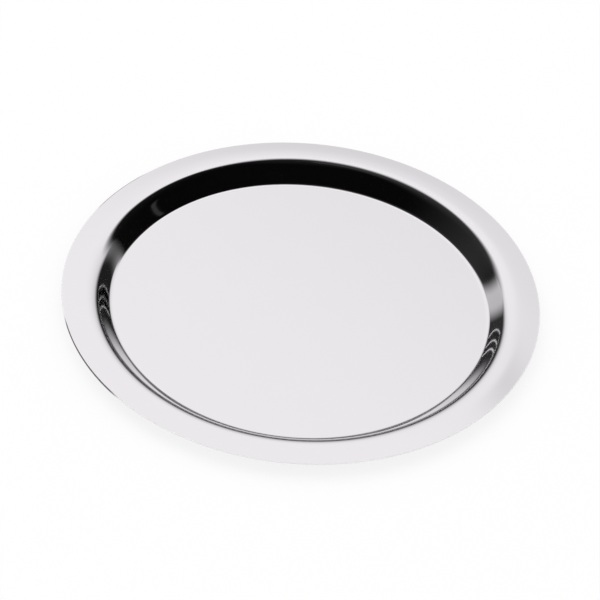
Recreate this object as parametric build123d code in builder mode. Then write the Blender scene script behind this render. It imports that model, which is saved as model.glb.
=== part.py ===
"""Round coin tray, pressed and polished from one disc of stainless steel sheet.

The frame is +Z up, with the origin under the centre of the base, on the surface that the tray stands on.
"""

import os

from build123d import *

MM = 1.0

# Sheet
sheet_thickness = 0.7 * MM
edge_rounding = 0.25 * MM  # radius on both corners of the cut edge, deburred and polished

# Pressing, measured on the upper, polished side of the sheet. The mouth is the sharp corner between rim and
# wall that the shoulder rounds, and the foot is the sharp corner between wall and floor that the heel rounds.
tray_diameter = 160.0 * MM
rim_width = 10.3 * MM  # from the outer edge in to the mouth
wall_run = 6.4 * MM  # from the mouth in to the foot
well_depth = 6.2 * MM  # from the mouth down to the floor
rim_fall = 1.1 * MM  # from the mouth down to the outer edge
rim_crown_radius = 180.0 * MM  # the rim bows down a little towards its edge
shoulder_radius = 7.2 * MM  # convex, from the rim into the wall
heel_radius = 2.4 * MM  # concave, from the wall into the floor

os.makedirs("parts", exist_ok=True)

# Corners of the half section's upper side
outer_radius = tray_diameter / 2
mouth_radius = outer_radius - rim_width
foot_radius = mouth_radius - wall_run
floor_top = sheet_thickness
mouth_top = floor_top + well_depth
centre = (0, floor_top)
foot = (foot_radius, floor_top)
mouth = (mouth_radius, mouth_top)
rim_edge = (outer_radius, mouth_top - rim_fall)

# The sheet's section lies below that line, and turns once round the vertical axis
with BuildPart() as tray:
    with BuildSketch(Plane.XZ) as section:
        with BuildLine() as upper_side:
            Polyline(centre, foot, mouth)
            RadiusArc(mouth, rim_edge, rim_crown_radius)
            heel, shoulder = upper_side.vertices().sort_by(Axis.X)[1:3]
            fillet(heel, heel_radius)
            fillet(shoulder, shoulder_radius)
            offset(amount=sheet_thickness, side=Side.RIGHT)
        make_face()
        cut_edge = section.edges().sort_by(Axis.X)[-1]
        fillet(cut_edge.vertices(), edge_rounding)
    revolve(axis=Axis.Z)
tray.part.label = "tray"
export_step(tray.part, "parts/tray.step")
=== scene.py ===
import math

import bpy
from mathutils import Matrix, Vector


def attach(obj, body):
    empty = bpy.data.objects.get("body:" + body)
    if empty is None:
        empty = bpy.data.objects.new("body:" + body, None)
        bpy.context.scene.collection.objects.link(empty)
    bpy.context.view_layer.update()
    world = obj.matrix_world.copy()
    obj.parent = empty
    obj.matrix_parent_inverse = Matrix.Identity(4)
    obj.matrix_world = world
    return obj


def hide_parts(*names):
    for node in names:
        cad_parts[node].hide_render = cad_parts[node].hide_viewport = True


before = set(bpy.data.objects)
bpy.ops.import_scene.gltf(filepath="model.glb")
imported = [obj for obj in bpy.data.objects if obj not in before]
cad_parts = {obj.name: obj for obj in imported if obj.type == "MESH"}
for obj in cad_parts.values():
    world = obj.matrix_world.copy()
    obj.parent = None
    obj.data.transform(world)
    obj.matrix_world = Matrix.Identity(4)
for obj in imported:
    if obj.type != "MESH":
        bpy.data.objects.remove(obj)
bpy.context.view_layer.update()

# Sizes of the pressing, in metres, as in the CAD's section
MM = 0.001
SHEET = 0.7 * MM
EDGE_ROUNDING = 0.25 * MM
OUTER_RADIUS = 80.0 * MM
FLOOR_RADIUS = 62.328 * MM  # where the flat floor ends
CREST_RADIUS = 72.349 * MM  # where the rim is highest
CREST_HEIGHT = 5.942 * MM  # of the crest above the floor
SHOULDER_SHARE = 0.75  # of both bends' radii together
RIM_FALL = 0.8427 * MM  # from the crest down to the outer edge

# What the CAD leaves out, because it shows in the reflections though hardly in the form
WALL_SLOPE = math.radians(44.4)  # where the wall is steepest
WALL_BOW = 0.05  # share of that slope which the wall loses down to its foot
STEEPEST_SHARE = 0.62  # of the wall's length, up from its foot
RIM_EASE = 1.5 * MM  # the rim comes to its full slope over about this length
FLOOR_SHIFT = -0.206 * MM  # the die pressed the floor a little to the left of the rim's centre

# How finely the section and the turned mesh are drawn
SEGMENTS = 512  # round the tray
FLOOR_SHARES = (0.0, 0.25, 0.5, 0.75, 0.9, 0.97, 0.995, 1.0)  # of its radius, where the floor has points
HEEL_PARTS = 20
WALL_STEPS = 60  # over which the wall's slope is summed up
WALL_STRIDE = 5  # steps from one drawn point of the wall to the next
SHOULDER_PARTS = 26
LOWER_SHOULDER_PARTS = 22
RIM_PARTS = 24
RIM_CROWDING = 1.3  # power that draws the rim's points together near the crest
CORNER_PARTS = 8  # in the rounding of each corner of the cut edge
CUT_PARTS = 2  # between those roundings
SAME_PLACE = 0.001 * MM  # points of the outline that are closer than this are one

# Camera, fitted to the photograph
VIEW_ELEVATION = math.radians(41.932)
VIEW_DISTANCE = 1239.85 * MM
VIEW_ROLL = math.radians(5.122)
LENS_PER_WIDTH = 6.1766  # focal length over the picture's width
SENSOR_WIDTH = 36.0  # in millimetres, as the lens is
AIM_RIGHT = 0.1201 * MM  # from the picture's middle right to the middle of the tray's floor
AIM_UP = -2.3204 * MM  # and up to it

# Studio, in metres
FLOOR_DROP = 0.15 * MM  # from the tray's base down to the studio's floor
FLOOR_REACH = 6.0  # from its middle to each side
SCRIM_RADIUS = 0.4
TENT_RADIUS = 5.0
DOME_ROWS = 24
DOME_COLUMNS = 96
WORLD_LIGHT = 0.8
WHITE = (1.0, 1.0, 1.0, 1.0)

FULL_TURN = 2 * math.pi
QUARTER_TURN = math.pi / 2
DEGREES = 180 / math.pi  # in a radian


class Nodes:
    """Builds shader nodes in a few words. A ramp is a pair of values between which something changes."""

    def __init__(self, tree):
        self.tree = tree
        tree.nodes.clear()

    def put(self, socket, value):
        if isinstance(value, bpy.types.NodeSocket):
            self.tree.links.new(value, socket)
        else:
            socket.default_value = value

    def new(self, kind, inputs=None, **settings):
        """A node with its settings made, and its inputs given constants or the outputs of other nodes."""
        node = self.tree.nodes.new(kind)
        for key, value in settings.items():
            setattr(node, key, value)
        for key, value in (inputs or {}).items():
            self.put(node.inputs[key], value)
        return node

    def math(self, operation, a, b=0.0):
        return self.new("ShaderNodeMath", {0: a, 1: b}, operation=operation).outputs[0]

    def chain(self, operation, values):
        total = values[0]
        for value in values[1:]:
            total = self.math(operation, total, value)
        return total

    def plus(self, *values):
        return self.chain("ADD", values)

    def times(self, *values):
        return self.chain("MULTIPLY", values)

    def most(self, *values):
        return self.chain("MAXIMUM", values)

    def minus(self, a, b):
        return self.math("SUBTRACT", a, b)

    def over(self, a, b):
        return self.math("DIVIDE", a, b)

    def square_sum(self, a, b):
        return self.plus(self.times(a, a), self.times(b, b))

    def length(self, a, b):
        return self.math("SQRT", self.square_sum(a, b))

    def bell(self, square, height):
        """A bell curve of the given height over a distance, given as its square."""
        return self.times(self.math("EXPONENT", self.times(square, -1.0)), height)

    def degrees(self, across, along):
        return self.times(self.math("ARCTAN2", across, along), DEGREES)

    def step(self, value, ramp, outputs=(0.0, 1.0), smooth=True):
        """Goes from one output to the other where the value goes through the ramp."""
        inputs = {
            "Value": value,
            "From Min": ramp[0],
            "From Max": ramp[1],
            "To Min": outputs[0],
            "To Max": outputs[1],
        }
        kind = "SMOOTHSTEP" if smooth else "LINEAR"
        return self.new("ShaderNodeMapRange", inputs, interpolation_type=kind, clamp=True).outputs[0]

    def fall(self, value, ramp):
        return self.step(value, ramp, (1.0, 0.0))

    def band(self, value, begins, ends):
        """1 between the two ramps, and 0 outside them."""
        return self.times(self.step(value, begins), self.fall(value, ends))

    def noise(self, vector, scale, detail=2.0, distortion=0.0):
        inputs = {"Vector": vector, "Scale": scale, "Detail": detail, "Distortion": distortion}
        return self.new("ShaderNodeTexNoise", inputs).outputs["Fac"]

    def place(self):
        return self.new("ShaderNodeTexCoord").outputs["Object"]

    def split(self, vector):
        return self.new("ShaderNodeSeparateXYZ", {0: vector}).outputs

    def mix_shader(self, factor, a, b):
        return self.new("ShaderNodeMixShader", {0: factor, 1: a, 2: b}).outputs[0]

    def mix_colour(self, factor, a, b):
        # The sockets for colours come after those for numbers and vectors
        return self.new("ShaderNodeMix", {0: factor, 6: a, 7: b}, data_type="RGBA").outputs[2]

    def clear(self, tint=WHITE):
        return self.new("ShaderNodeBsdfTransparent", {0: tint}).outputs[0]

    def surface(self, shader):
        self.new("ShaderNodeOutputMaterial", {0: shader})


def new_material(name):
    material = bpy.data.materials.new(name)
    material.use_nodes = True
    return material, Nodes(material.node_tree)


def add_object(name, data):
    obj = bpy.data.objects.new(name, data)
    bpy.context.scene.collection.objects.link(obj)
    return obj


def direction(angle):
    return Vector((math.cos(angle), math.sin(angle)))


class Outline:
    """A section, drawn as points with the surface's normal at each."""

    def __init__(self):
        self.points = []

    def add(self, point, normal):
        if self.points and (self.points[-1][0] - point).length < SAME_PLACE:
            return
        self.points.append((point, normal.normalized()))

    def line(self, start, end, normal, parts):
        for i in range(parts + 1):
            self.add(start.lerp(end, i / parts), normal)

    def arc(self, centre, radius, start, end, side, parts):
        """From one direction to another, with the normal outward (side 1) or to the centre (side -1)."""
        for i in range(parts + 1):
            angle = start + (end - start) * i / parts
            ray = direction(angle)
            self.add(centre + ray * radius, ray * side)


def wall_slope(share):
    """The wall's slope at a share of its length up from its foot."""
    return WALL_SLOPE * (1 - WALL_BOW * ((share - STEEPEST_SHARE) / STEEPEST_SHARE) ** 2)


def wall_sizes(slopes):
    """The wall's length, and the radii of the heel and the shoulder at its ends.

    Together they make up the run and the height from the end of the floor to the crest.
    """
    run = CREST_RADIUS - FLOOR_RADIUS
    low_slope = wall_slope(0)
    high_slope = wall_slope(1)
    out_share = sum(math.cos(a) for a in slopes) / WALL_STEPS
    up_share = sum(math.sin(a) for a in slopes) / WALL_STEPS
    bend_out = math.sin(low_slope) * (1 - SHOULDER_SHARE) + math.sin(high_slope) * SHOULDER_SHARE
    bend_up = 1 - math.cos(low_slope) * (1 - SHOULDER_SHARE) - math.cos(high_slope) * SHOULDER_SHARE
    bend = (run * up_share - CREST_HEIGHT * out_share) / (bend_out * up_share - bend_up * out_share)
    length = (run - bend * bend_out) / out_share
    shoulder_radius = bend * SHOULDER_SHARE
    return length, bend - shoulder_radius, shoulder_radius


def wall_points(start, length, slopes):
    """The wall's upper side from its foot up, as points with the slope at each.

    The slopes given are those in the middle of each step.
    """
    wall = [(start, wall_slope(0))]
    for i, slope in enumerate(slopes):
        point = wall[-1][0] + direction(slope) * length / WALL_STEPS
        wall.append((point, wall_slope((i + 1) / WALL_STEPS)))
    return wall[::WALL_STRIDE]


def rim_gradient(t):
    """How the rim's gradient grows outward from the crest, as a share of its full value."""
    return 1 - math.exp(-t / RIM_EASE)


def rim_drop(t):
    """The height lost from the crest outward, for a full gradient of 1."""
    return t - RIM_EASE * rim_gradient(t)


def rim_points(width, fall_share):
    """The rim's upper side from the crest outward, as points with the downward slope at each."""
    rim = []
    for i in range(1, RIM_PARTS):
        t = (width - EDGE_ROUNDING) * (i / RIM_PARTS) ** RIM_CROWDING
        slope = math.atan(fall_share * rim_gradient(t))
        point = Vector((CREST_RADIUS + t, SHEET + CREST_HEIGHT - fall_share * rim_drop(t)))
        rim.append((point, slope))
    return rim


def tray_outline():
    """The tray's half section, from the middle of the floor round the cut edge to the middle of the base."""
    up = Vector((0.0, 1.0))
    low_slope = wall_slope(0)
    high_slope = wall_slope(1)
    slopes = [wall_slope((i + 0.5) / WALL_STEPS) for i in range(WALL_STEPS)]
    length, heel_radius, shoulder_radius = wall_sizes(slopes)
    heel = Vector((FLOOR_RADIUS, SHEET + heel_radius))
    shoulder = Vector((CREST_RADIUS, SHEET + CREST_HEIGHT - shoulder_radius))
    wall = wall_points(heel - direction(QUARTER_TURN + low_slope) * heel_radius, length, slopes)

    # The rim's slope grows from nothing at the crest to its full value, and the cut edge is square to it
    width = OUTER_RADIUS - CREST_RADIUS
    fall_share = RIM_FALL / rim_drop(width)
    rim = rim_points(width, fall_share)
    end_slope = math.atan(fall_share * rim_gradient(width))
    out_of_edge = direction(-end_slope)
    end_normal = direction(QUARTER_TURN - end_slope)
    edge_top = Vector((OUTER_RADIUS, SHEET + CREST_HEIGHT - RIM_FALL))
    top_corner = edge_top - (out_of_edge + end_normal) * EDGE_ROUNDING
    low_corner = edge_top - out_of_edge * EDGE_ROUNDING - end_normal * (SHEET - EDGE_ROUNDING)

    # The upper side
    o = Outline()
    for share in FLOOR_SHARES:
        o.add(Vector((FLOOR_RADIUS * share, SHEET)), up)
    o.arc(heel, heel_radius, -QUARTER_TURN, -QUARTER_TURN + low_slope, -1, HEEL_PARTS)
    for point, slope in wall:
        o.add(point, direction(QUARTER_TURN + slope))
    o.arc(shoulder, shoulder_radius, QUARTER_TURN + high_slope, QUARTER_TURN, 1, SHOULDER_PARTS)
    for point, slope in rim:
        o.add(point, direction(QUARTER_TURN - slope))

    # The cut edge
    o.arc(top_corner, EDGE_ROUNDING, QUARTER_TURN - end_slope, -end_slope, 1, CORNER_PARTS)
    o.line(o.points[-1][0], low_corner + out_of_edge * EDGE_ROUNDING, out_of_edge, CUT_PARTS)
    o.arc(low_corner, EDGE_ROUNDING, -end_slope, -QUARTER_TURN - end_slope, 1, CORNER_PARTS)

    # The underside, one sheet's thickness below
    for point, slope in reversed(rim):
        o.add(point - direction(QUARTER_TURN - slope) * SHEET, -direction(QUARTER_TURN - slope))
    inner_radius = shoulder_radius - SHEET
    o.arc(shoulder, inner_radius, QUARTER_TURN, QUARTER_TURN + high_slope, -1, LOWER_SHOULDER_PARTS)
    for point, slope in reversed(wall):
        o.add(point - direction(QUARTER_TURN + slope) * SHEET, -direction(QUARTER_TURN + slope))
    o.arc(heel, heel_radius + SHEET, -QUARTER_TURN + low_slope, -QUARTER_TURN, 1, HEEL_PARTS)
    for share in reversed(FLOOR_SHARES):
        o.add(Vector((FLOOR_RADIUS * share, 0.0)), -up)
    return o.points


def shift_share(point, normal):
    """How much of the floor's shift a point of the outline has: all of it in the floor, none in the rim."""
    if point.x > CREST_RADIUS:
        return 0.0
    top = point.y - min(normal.y, 0.0) * SHEET
    return min(max((SHEET + CREST_HEIGHT - top) / CREST_HEIGHT, 0.0), 1.0)


def ring_faces(a, b):
    """The faces between two rings of points, one of which may be a single point on the axis."""
    faces = []
    for i in range(SEGMENTS):
        j = (i + 1) % SEGMENTS
        if len(a) == 1:
            faces.append((a[0], b[i], b[j]))
        elif len(b) == 1:
            faces.append((a[j], a[i], b[0]))
        else:
            faces.append((a[j], a[i], b[i], b[j]))
    return faces


def turned_mesh(name, outline):
    """Turns the outline once round the vertical axis. Its first and last points are on the axis."""
    verts = []
    normals = []
    rings = []
    for point, normal in outline:
        shift = FLOOR_SHIFT * shift_share(point, normal)
        tilt = FLOOR_SHIFT / CREST_HEIGHT if shift else 0.0
        if point.x < SAME_PLACE:
            rings.append([len(verts)])
            verts.append((shift, 0.0, point.y))
            normals.append((0.0, 0.0, normal.y))
            continue
        ring = []
        for i in range(SEGMENTS):
            turn = FULL_TURN * i / SEGMENTS
            c = math.cos(turn)
            s = math.sin(turn)
            ring.append(len(verts))
            verts.append((point.x * c + shift, point.x * s, point.y))
            leaning = Vector((normal.x * c, normal.x * s, normal.y + tilt * normal.x * c))
            normals.append(leaning.normalized())
        rings.append(ring)
    faces = []
    for a, b in zip(rings, rings[1:]):
        faces.extend(ring_faces(a, b))
    mesh = bpy.data.meshes.new(name)
    mesh.from_pydata(verts, [], faces)
    mesh.shade_smooth()
    mesh.normals_split_custom_set_from_vertices(normals)
    mesh.validate()
    mesh.update()
    return mesh


def hairlines(n, place, turn):
    """Faint polishing scratches that run one way: 1 in a scratch, 0 between them."""
    squeeze = (45.0, 3500.0, 3500.0)
    scratch_begins = (0.68, 0.76)
    inputs = {"Vector": place, "Rotation": (0.0, 0.0, turn), "Scale": squeeze}
    mapping = n.new("ShaderNodeMapping", inputs)
    return n.step(n.noise(mapping.outputs[0], 1.0, distortion=0.2), scratch_begins)


def polish_scratches(n, place):
    """Hairlines that run two ways, in patches."""
    turns = (0.5, 1.9)
    patch_scale = 60.0
    patch_begins = (0.4, 0.6)
    crossed = n.most(*[hairlines(n, place, turn) for turn in turns])
    return n.times(crossed, n.step(n.noise(place, patch_scale), patch_begins))


def spin_marks(n, x, y, radius):
    """Spinning marks of the underside: rings that fade in and out along their way."""
    ring_scale = 2400.0
    inputs = {0: n.times(radius, ring_scale), 1: n.over(x, radius), 2: n.over(y, radius)}
    rings = n.new("ShaderNodeCombineXYZ", inputs)
    return n.noise(rings.outputs[0], 1.0, detail=3.0)


def painted_shade_stretches(n, x, y):
    """The two stretches of the cut edge, at the left, that get painted shade: a dark grey in place of the
    edge's own colour.
    """
    left_front = ((-2.38, -2.3), (-1.9, -1.82))  # in radians, from the back towards the right
    left_back = ((-1.14, -1.06), (-0.86, -0.78))
    turn = n.math("ARCTAN2", x, y)
    return n.plus(n.band(turn, *left_front), n.band(turn, *left_back))


def polish_haze(n, level):
    """The polish is sharpest at a slant. Where the level parts are seen squarely, its haze shows."""
    seen_squarely = (0.02, 0.22)
    is_level = (0.96, 0.985)
    weight = n.new("ShaderNodeLayerWeight", {"Blend": 0.5})
    return n.times(n.fall(weight.outputs["Facing"], seen_squarely), n.step(level, is_level))


def polish_roughness(n, cloud, scratches):
    clouded = (0.3, 0.7)
    clear_and_clouded = (0.012, 0.03)
    scratch = 0.08
    return n.plus(n.step(cloud, clouded, clear_and_clouded), n.times(scratches, scratch))


def wall_roughness(n, x, radius):
    """The wall is a little rougher than the rest, most at the left."""
    begins = (62.5 * MM, 64.5 * MM)
    ends = (69.0 * MM, 71.5 * MM)
    across = (-60.0 * MM, 60.0 * MM)
    left_and_right = (0.06, 0.045)
    return n.times(n.band(radius, begins, ends), n.step(x, across, left_and_right))


def steel_roughness(n, polish, wall, haze, edge, under, spin):
    """That of the roughest finish at each place, with the spinning marks on top."""
    hazy = 0.45
    cut = 0.4
    satin = 0.26
    spun = 0.16
    roughest = n.most(polish, wall, n.times(haze, hazy), n.times(edge, cut), n.times(under, satin))
    return n.plus(roughest, n.times(spin, spun))


def steel_scatter(n, level, dull, haze):
    """How much light the dressed edge and the haze scatter, where the rest mirrors it."""
    faces_up = (-0.2, 0.3)
    below_and_above = (0.15, 0.75)
    hazy = 0.35
    return n.plus(n.times(dull, n.step(level, faces_up, below_and_above)), n.times(haze, hazy))


def steel_colour(n, cloud, spin, under, dull, painted_edge_shade):
    """The colours of the polish, the satin finish and the dressed edge, with painted shade on two stretches
    of the cut edge.
    """
    darker_polish = (0.832, 0.819, 0.833, 1.0)
    lighter_polish = (0.844, 0.831, 0.845, 1.0)
    darker_satin = (0.62, 0.612, 0.622, 1.0)
    lighter_satin = (0.68, 0.672, 0.682, 1.0)
    dressed_edge = (0.92, 0.91, 0.92, 1.0)
    # Painted shade for two stretches of the cut edge
    painted_shade_grey = (0.2, 0.195, 0.2, 1.0)
    spin_contrast = (0.3, 0.7)
    polish = n.mix_colour(cloud, darker_polish, lighter_polish)
    satin = n.mix_colour(n.step(spin, spin_contrast), darker_satin, lighter_satin)
    sheet = n.mix_colour(under, polish, satin)
    return n.mix_colour(painted_edge_shade, n.mix_colour(dull, sheet, dressed_edge), painted_shade_grey)


def steel_bump(n, place, radius, spin, scratches):
    """The sheet isn't quite even, and the rim least so."""
    wave_scale = 30.0
    rim_begins = (71.0 * MM, 76.0 * MM)
    well_and_rim = (0.5, 1.0)
    spin_height = 0.05
    scratch_depth = 0.002
    full_height = 0.06 * MM
    wave = n.times(n.noise(place, wave_scale, detail=1.0), n.step(radius, rim_begins, well_and_rim))
    height = n.minus(n.plus(wave, n.times(spin, spin_height)), n.times(scratches, scratch_depth))
    return n.new("ShaderNodeBump", {"Distance": full_height, "Height": height}).outputs[0]


def steel_material():
    """Stainless steel sheet: mirror finish above, spun satin finish underneath, and a dressed cut edge."""
    edge_begins = (79.6 * MM, 79.75 * MM)
    faces_down = (-0.6, -0.3)
    cloud_scale = 55.0
    brushing = 0.6  # how much the spinning stretches the underside's highlights

    material, n = new_material("polished_steel")
    coordinates = n.new("ShaderNodeTexCoord").outputs
    place = coordinates["Object"]
    x, y = n.split(place)[:2]
    radius = n.length(x, y)
    level = n.split(coordinates["Normal"])["Z"]
    edge = n.step(radius, edge_begins)
    under = n.fall(level, faces_down)
    # Painted shade: two stretches of the cut edge at the left are darkened
    painted_edge_shade = n.times(edge, painted_shade_stretches(n, x, y))
    dull = n.minus(edge, painted_edge_shade)
    spin = n.times(spin_marks(n, x, y, radius), under)
    scratches = polish_scratches(n, place)
    cloud = n.noise(place, cloud_scale, detail=3.0)
    haze = polish_haze(n, level)
    haze = n.minus(haze, n.times(haze, edge))
    polish = polish_roughness(n, cloud, scratches)
    wall = wall_roughness(n, x, radius)
    inputs = {
        "Metallic": n.minus(1.0, steel_scatter(n, level, dull, haze)),
        "Base Color": steel_colour(n, cloud, spin, under, dull, painted_edge_shade),
        "Roughness": steel_roughness(n, polish, wall, haze, edge, under, spin),
        "Anisotropic": n.times(under, brushing),
        "Tangent": n.new("ShaderNodeTangent", direction_type="RADIAL", axis="Z").outputs[0],
        "Normal": steel_bump(n, place, radius, spin, scratches),
    }
    n.surface(n.new("ShaderNodeBsdfPrincipled", inputs).outputs[0])
    return material


def make_tray():
    tray = add_object("pressed_tray", turned_mesh("pressed_tray", tray_outline()))
    tray.data.materials.append(steel_material())
    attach(tray, "root")
    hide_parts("tray")


def make_camera():
    data = bpy.data.cameras.new("camera")
    data.sensor_width = SENSOR_WIDTH
    data.lens = LENS_PER_WIDTH * SENSOR_WIDTH
    camera = add_object("camera", data)
    e = VIEW_ELEVATION
    forward = Vector((0.0, math.cos(e), -math.sin(e)))
    level_right = Vector((1.0, 0.0, 0.0))
    level_up = Vector((0.0, math.sin(e), math.cos(e)))
    c = math.cos(VIEW_ROLL)
    s = math.sin(VIEW_ROLL)
    right = level_right * c + level_up * s
    up = level_up * c - level_right * s
    target = Vector((0.0, 0.0, SHEET)) - right * AIM_RIGHT - up * AIM_UP
    place = Matrix((right, up, -forward)).transposed().to_4x4()
    place.translation = target - forward * VIEW_DISTANCE
    camera.matrix_world = place
    bpy.context.scene.camera = camera


def make_world():
    """A plain light on matt surfaces, and pure white in view and in reflections."""
    world = bpy.data.worlds.new("studio")
    bpy.context.scene.world = world
    world.use_nodes = True
    world.cycles.sampling_method = "NONE"
    n = Nodes(world.node_tree)
    path = n.new("ShaderNodeLightPath").outputs
    seen = n.most(path["Is Camera Ray"], path["Is Glossy Ray"], path["Is Transmission Ray"])
    plain = n.new("ShaderNodeBackground", {"Color": WHITE, "Strength": WORLD_LIGHT})
    white = n.new("ShaderNodeBackground", {"Color": WHITE, "Strength": 1.0})
    n.new("ShaderNodeOutputWorld", {0: n.mix_shader(seen, plain.outputs[0], white.outputs[0])})


def make_floor():
    """A plain pale floor that shows the tray's soft shadow, and can't be seen from below."""
    paint_colour = (0.98, 0.98, 0.98, 1.0)
    plain_white = 0.78  # share of its look in the picture that no shadow darkens
    # Painted shadow: the ramp over the radius, under the tray, where reflections of the floor dim
    painted_shadow_ramp = (60.0 * MM, 80.0 * MM)
    painted_shadow_and_open = (0.55, 1.0)
    corners = [(-1, -1), (1, -1), (1, 1), (-1, 1)]
    mesh = bpy.data.meshes.new("floor")
    verts = [(x * FLOOR_REACH, y * FLOOR_REACH, -FLOOR_DROP) for x, y in corners]
    mesh.from_pydata(verts, [], [(0, 1, 2, 3)])
    floor = add_object("floor", mesh)
    material, n = new_material("pale_floor")
    path = n.new("ShaderNodeLightPath").outputs

    # In reflections the white glow gives way to the paint in a disc under the tray: a painted shadow, under
    # which the paint shows its real shadow from the tray
    mirrored = n.most(path["Is Glossy Ray"], path["Is Transmission Ray"])
    radius = n.length(*n.split(n.place())[:2])
    mirrored = n.times(mirrored, n.step(radius, painted_shadow_ramp, painted_shadow_and_open))
    lit = n.most(n.times(path["Is Camera Ray"], plain_white), mirrored)
    paint = n.new("ShaderNodeBsdfDiffuse", {"Color": paint_colour})
    white = n.new("ShaderNodeEmission", {"Color": WHITE})
    shown = n.mix_shader(lit, paint.outputs[0], white.outputs[0])
    below = n.new("ShaderNodeNewGeometry").outputs["Backfacing"]
    n.surface(n.mix_shader(below, shown, n.clear()))
    mesh.materials.append(material)


def add_dome(name, radius):
    """Half a ball over the set, seen only in reflections."""
    verts = []
    faces = []
    for i in range(DOME_ROWS + 1):
        level = QUARTER_TURN * i / DOME_ROWS
        out = radius * math.cos(level)
        for j in range(DOME_COLUMNS):
            turn = FULL_TURN * j / DOME_COLUMNS
            verts.append((out * math.cos(turn), out * math.sin(turn), radius * math.sin(level)))
    for i in range(DOME_ROWS):
        a = i * DOME_COLUMNS
        b = a + DOME_COLUMNS
        for j in range(DOME_COLUMNS):
            k = (j + 1) % DOME_COLUMNS
            faces.append((a + j, a + k, b + k, b + j))
    mesh = bpy.data.meshes.new(name)
    mesh.from_pydata(verts, [], faces)
    dome = add_object(name, mesh)
    dome.visible_camera = False
    dome.visible_diffuse = False
    dome.visible_transmission = False
    dome.visible_shadow = False
    return mesh


def make_scrim():
    """A thin white scrim close over the tray takes some light away, most of it low down and at the right."""
    lean_right = 0.46  # how much a metre to the right counts against one up
    thins = (0.096, 0.327)
    low_and_high = (0.86, 0.994)
    green_share = 0.984
    mesh = add_dome("scrim", SCRIM_RADIUS)
    material, n = new_material("scrim_cloth")
    x, _, z = n.split(n.place())
    passed = n.step(n.minus(z, n.times(x, lean_right)), thins, low_and_high)

    # Something small stands before it at the right
    spot_right = 0.158
    spot_up = 0.293
    spot_size = 0.023
    spot_depth = 0.15
    off_x = n.over(n.minus(x, spot_right), spot_size)
    off_z = n.over(n.minus(z, spot_up), spot_size)
    spot = n.bell(n.square_sum(off_x, off_z), spot_depth)
    passed = n.times(passed, n.minus(1.0, spot))
    tint = n.new("ShaderNodeCombineColor", {0: passed, 1: n.times(passed, green_share), 2: passed})
    n.surface(n.clear(tint.outputs[0]))
    mesh.materials.append(material)


def tent_window(n, azimuth, height, over):
    """How much light comes through the window at the back: 1 in its middle."""
    left = (-61.2, -39.6)
    right = (26.7, 41.2)
    top = (63.6, 79.1)

    # It widens towards its foot at the right
    widens_below = 50.2
    widening = 0.65
    extra = n.times(n.most(n.minus(widens_below, height), 0.0), widening)
    window = n.times(n.step(azimuth, left), n.fall(n.minus(azimuth, extra), right), n.fall(over, top))

    # Below it hangs a cloth, which some light reaches in the middle
    foot = (5.9, 20.4)
    foot_rise = 0.045  # degrees up for each degree to a side
    glow_size = 14.6
    glow_light = 0.57
    glow_begins = (3.0, 12.0)
    dim_and_full = (0.1, 1.0)
    middle = (-15.0, 15.0)
    left_and_right = (0.041, 0.017)
    spread = n.over(azimuth, glow_size)
    glow = n.bell(n.times(spread, spread), glow_light)
    glow = n.times(glow, n.step(height, glow_begins, dim_and_full))
    glow = n.most(glow, n.step(azimuth, middle, left_and_right))
    above_foot = n.step(n.minus(height, n.times(n.math("ABSOLUTE", azimuth), foot_rise)), foot)
    window = n.times(window, n.step(above_foot, (0.0, 1.0), (glow, 1.0), smooth=False))

    # It is duller towards its foot
    brightens = (15.0, 31.8)
    low_and_high = (0.82, 1.0)
    return n.times(window, n.step(height, brightens, low_and_high))


def tent_card(n, azimuth, height):
    """A grey card that stands low at the left of the window."""
    left = (-59.9, -51.9)
    right = (-47.5, -39.5)
    top = (19.5, 27.5)
    card_light = 0.605
    return n.times(n.band(azimuth, left, right), n.fall(height, top), card_light)


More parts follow.
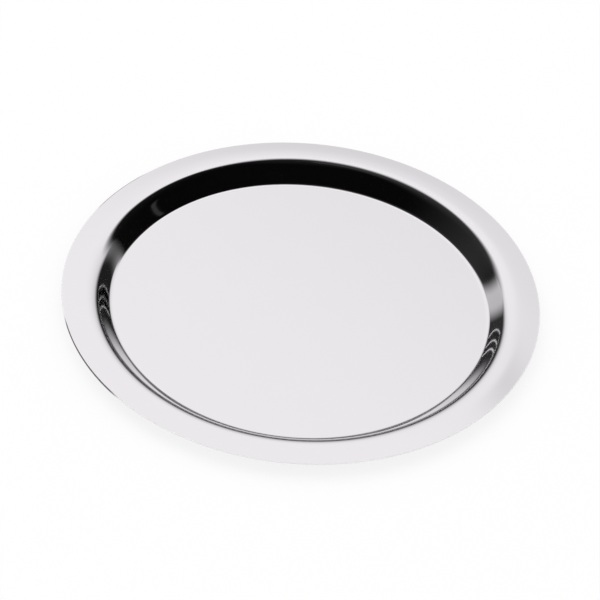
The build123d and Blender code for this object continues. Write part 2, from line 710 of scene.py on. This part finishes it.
def tent_ring(n, azimuth, height):
    """The pale ring that shows below the tent's hem, highest behind the camera."""
    hem_rises = (37.0, 180.0)
    hem_height = 47.0
    hem_blur = (-6.0, -1.0)
    ahead = n.step(n.math("ABSOLUTE", azimuth), hem_rises, (1.0, 0.0), smooth=False)
    hem = n.times(n.minus(1.0, n.times(ahead, ahead)), hem_height)
    return n.fall(n.minus(height, hem), hem_blur)


def tent_cloth(n, azimuth, height):
    """The cloth is dimly lit round the window, in one fold at the right, and overhead."""
    lit_left = (-120.0, -50.0)
    lit_right = (35.2, 82.0)
    lit_foot = (8.0, 30.0)
    middle = (-20.0, 20.0)
    left_and_right = (0.034, 0.006)
    haze = n.times(n.band(azimuth, lit_left, lit_right), n.step(height, lit_foot))
    haze = n.times(haze, n.step(azimuth, middle, left_and_right))
    fold_sides = ((83.5, 85.0), (86.0, 87.5))
    fold_ends = ((26.0, 30.0), (34.0, 38.0))
    fold_light = 0.04
    fold = n.times(n.band(azimuth, *fold_sides), n.band(height, *fold_ends), fold_light)
    overhead = (72.0, 84.0)
    round_and_overhead = (0.0025, 0.008)
    return n.plus(n.most(haze, fold), n.step(height, overhead, round_and_overhead))


def make_tent():
    """A black cloth tent round the set, open towards a wide white window at the back."""
    mesh = add_dome("blackout_tent", TENT_RADIUS)
    material, n = new_material("blackout_cloth")

    # In degrees: from the back to the right, up from level, and up from the back over the set
    x, y, z = n.split(n.place())
    azimuth = n.degrees(x, y)
    height = n.degrees(z, n.length(x, y))
    over = n.degrees(z, y)
    window = tent_window(n, azimuth, height, over)
    card = tent_card(n, azimuth, height)
    ring = tent_ring(n, azimuth, height)
    light = tent_cloth(n, azimuth, height)
    cloth = n.new("ShaderNodeEmission", {"Color": WHITE, "Strength": light})
    n.surface(n.mix_shader(n.most(window, card, ring), cloth.outputs[0], n.clear()))
    mesh.materials.append(material)


def make_lamp():
    data = bpy.data.lights.new("soft_lamp", "AREA")
    data.shape = "DISK"
    data.size = 2.4
    data.energy = 12.0
    lamp = add_object("soft_lamp", data)
    lamp.location = (-0.4, 0.3, 2.0)
    lamp.rotation_euler = (-lamp.location).to_track_quat("-Z", "Y").to_euler()
    lamp.visible_glossy = False
    lamp.visible_camera = False


bpy.context.scene.view_settings.view_transform = "Standard"
make_camera()
make_world()
make_floor()
make_tent()
make_scrim()
make_lamp()
make_tray()
